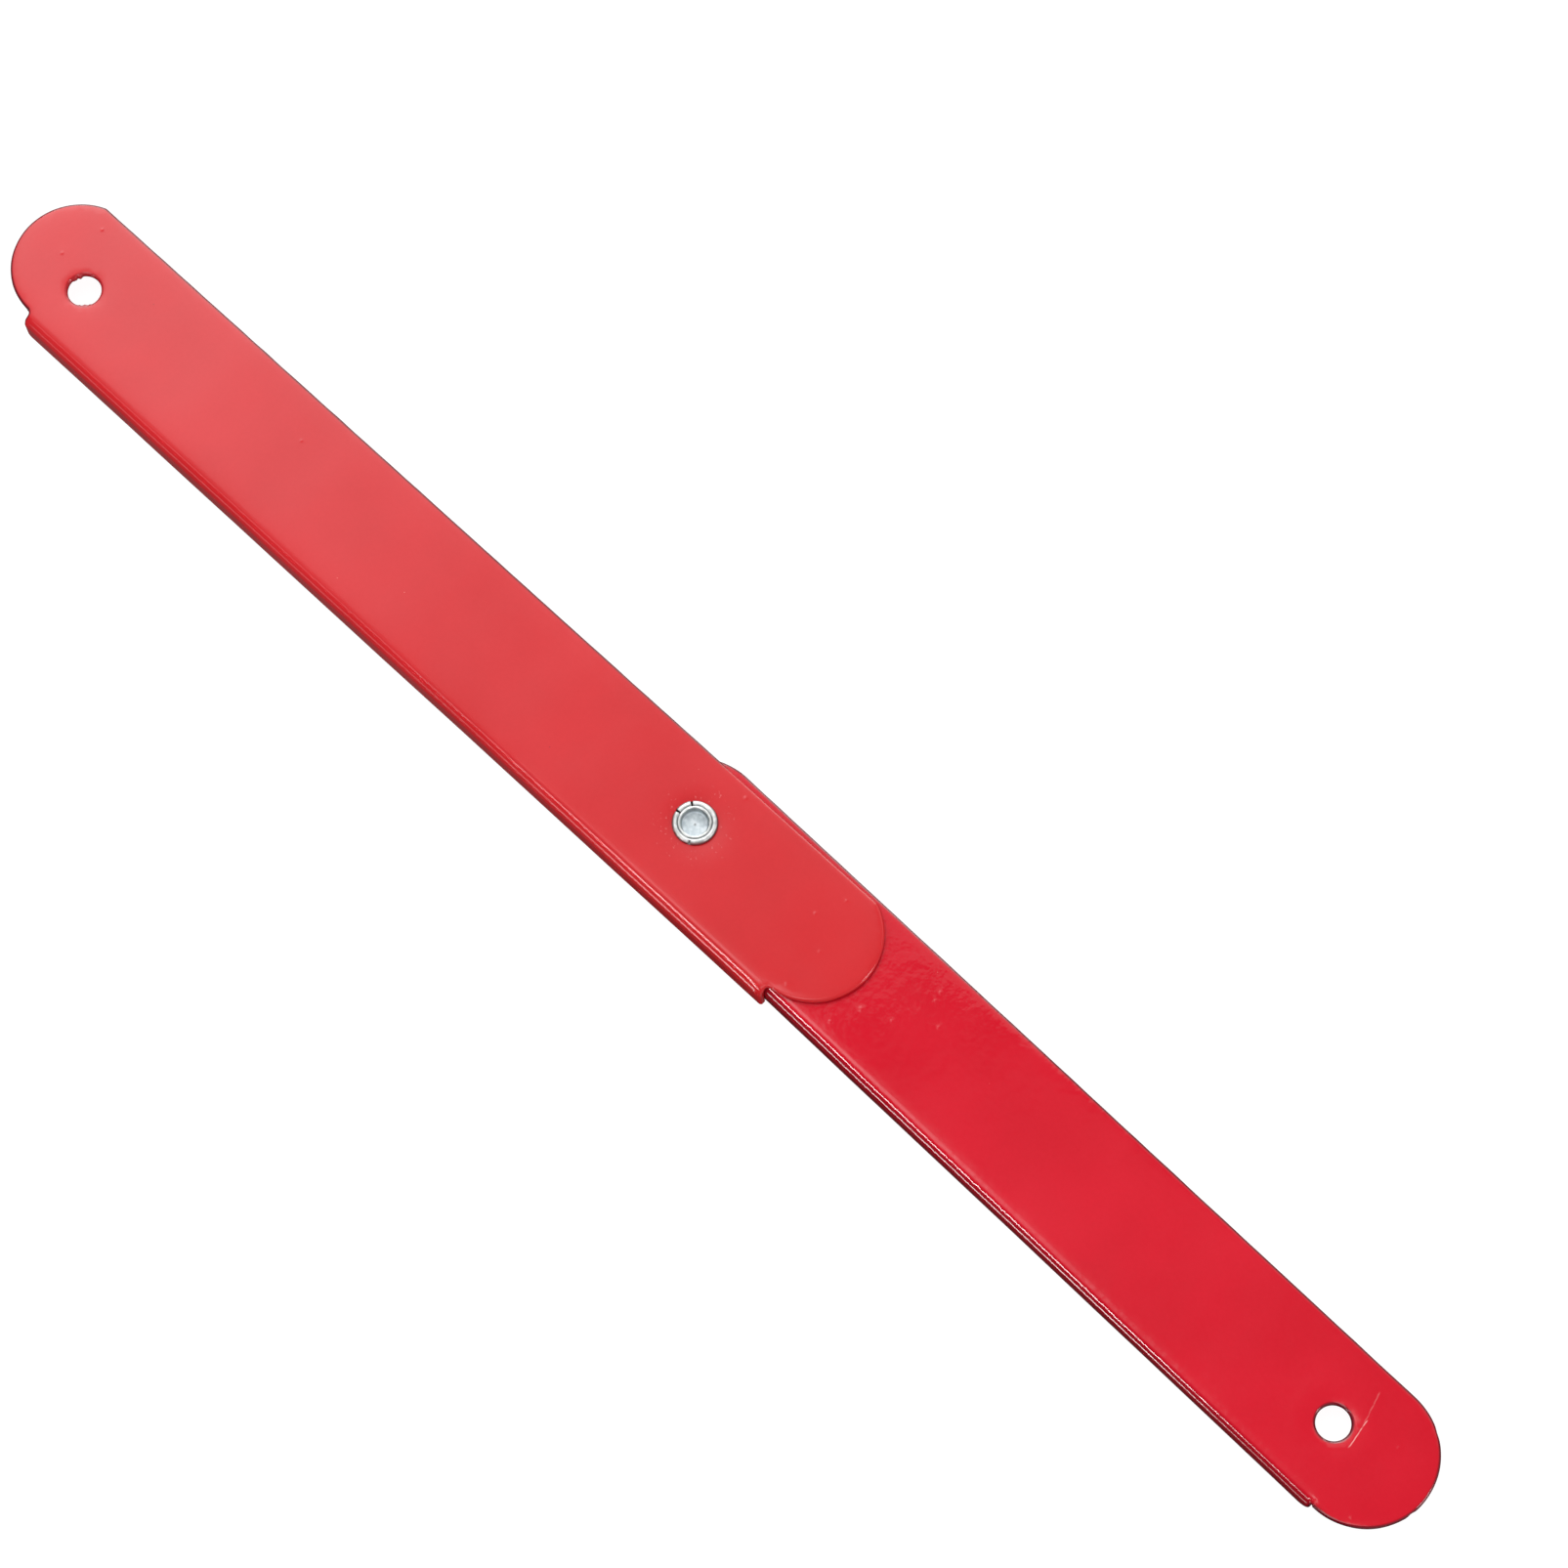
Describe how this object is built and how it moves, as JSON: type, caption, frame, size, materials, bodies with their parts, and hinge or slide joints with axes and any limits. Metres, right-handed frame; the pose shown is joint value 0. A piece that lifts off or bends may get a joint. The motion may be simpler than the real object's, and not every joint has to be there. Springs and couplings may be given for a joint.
{
  "type": "folding spreader brace",
  "caption": "Folding steel brace for a stepladder: flanged links that nest, turn on a clinched rivet, lock just past straight and fold flat, with a round drilled tab at each end.",
  "frame": {"origin": "on the axis of the outer link's end hole, at the top face of its web", "axes": "+X from that hole towards the inner link's end, +Y away from the flanges, +Z along the holes towards the rivet's clinched end"},
  "size_m": [0.4014, 0.0334, 0.0093],
  "materials": {
    "outer_enamel": "red enamel, satin, slightly dusty",
    "inner_enamel": "red enamel, gloss",
    "rivet_zinc": "bright zinc plate"
  },
  "bodies": {
    "outer_link": {"outer_link": "outer_enamel", "pivot_rivet": "rivet_zinc"},
    "inner_link": {"inner_link": "inner_enamel"}
  },
  "joints": [
    {"name": "fold", "type": "hinge", "parent": "outer_link", "child": "inner_link", "pos_m": [0.18, 0.0033, -0.0017], "axis": [0, 0, 1], "range_deg": [0, 180]}
  ]
}
